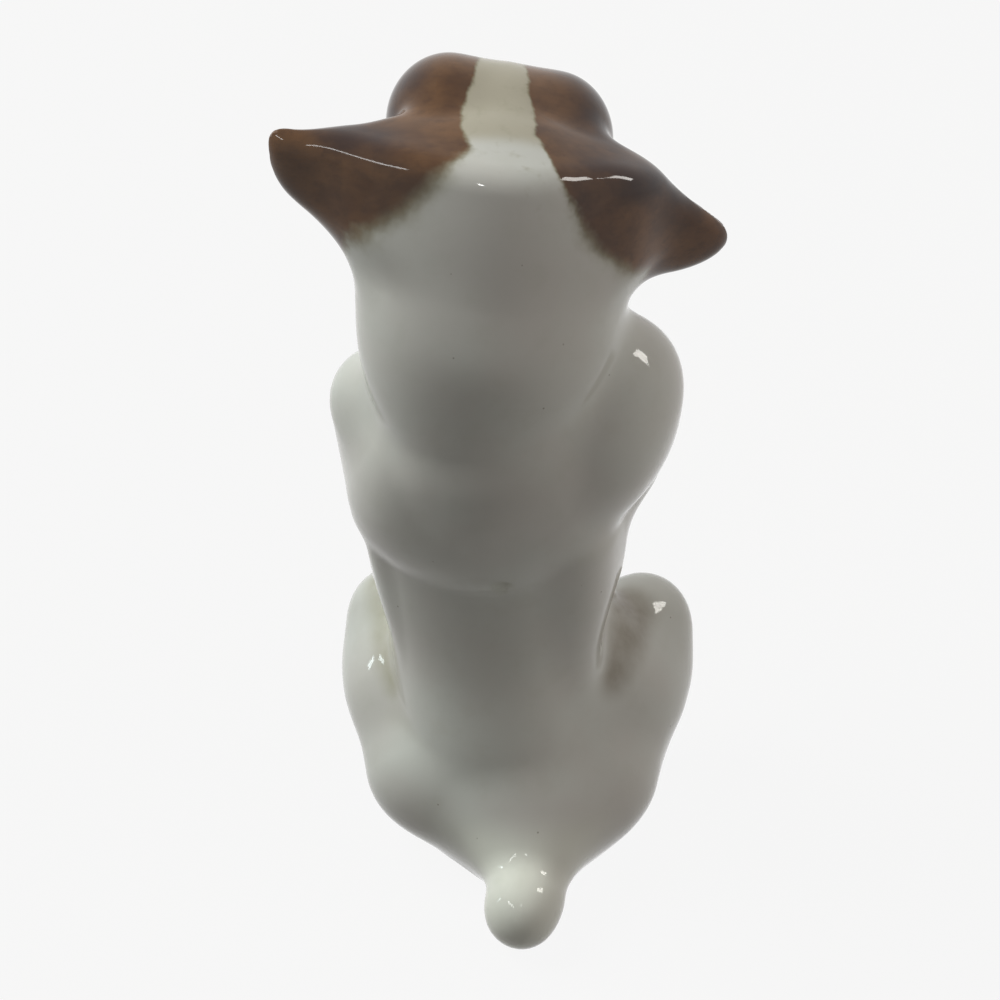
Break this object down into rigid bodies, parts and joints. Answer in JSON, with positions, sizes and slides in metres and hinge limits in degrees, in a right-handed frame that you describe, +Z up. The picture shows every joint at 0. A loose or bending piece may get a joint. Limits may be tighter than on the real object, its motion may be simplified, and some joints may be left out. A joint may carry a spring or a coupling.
{
  "type": "porcelain dog figurine",
  "caption": "Glazed white porcelain puppy with brown ears and brow patches, sitting up on its haunches and begging with raised forepaws; a free-standing ornament.",
  "frame": {"origin": "on the flat underside of the closing slab, in the plane the figurine stands on, near the middle of the foot", "axes": "+Z up, +Y the way the dog faces, +X the dog's right side"},
  "size_m": [0.0499, 0.0579, 0.0988],
  "materials": {
    "white_glaze": "clear gloss glaze over white porcelain, faintly green where it pools",
    "brown_glaze": "brushed brown underglaze under clear gloss glaze",
    "bisque": "unglazed matte porcelain"
  },
  "bodies": {
    "root": {"body_casting": "white_glaze", "base_slab": "bisque", "base_slip": "bisque", "head_casting": "white_glaze", "neck_slip": "bisque", "left_ear": "brown_glaze", "right_ear": "brown_glaze", "left_ear_slip": "bisque", "right_ear_slip": "bisque", "left_foreleg": "white_glaze", "right_foreleg": "white_glaze", "left_foreleg_slip": "bisque", "right_foreleg_slip": "bisque", "left_haunch": "white_glaze", "right_haunch": "white_glaze", "left_haunch_slip": "bisque", "right_haunch_slip": "bisque", "left_hind_paw": "white_glaze", "right_hind_paw": "white_glaze", "left_hind_paw_slip": "bisque", "right_hind_paw_slip": "bisque", "tail": "white_glaze", "tail_slip": "bisque"}
  },
  "joints": []
}
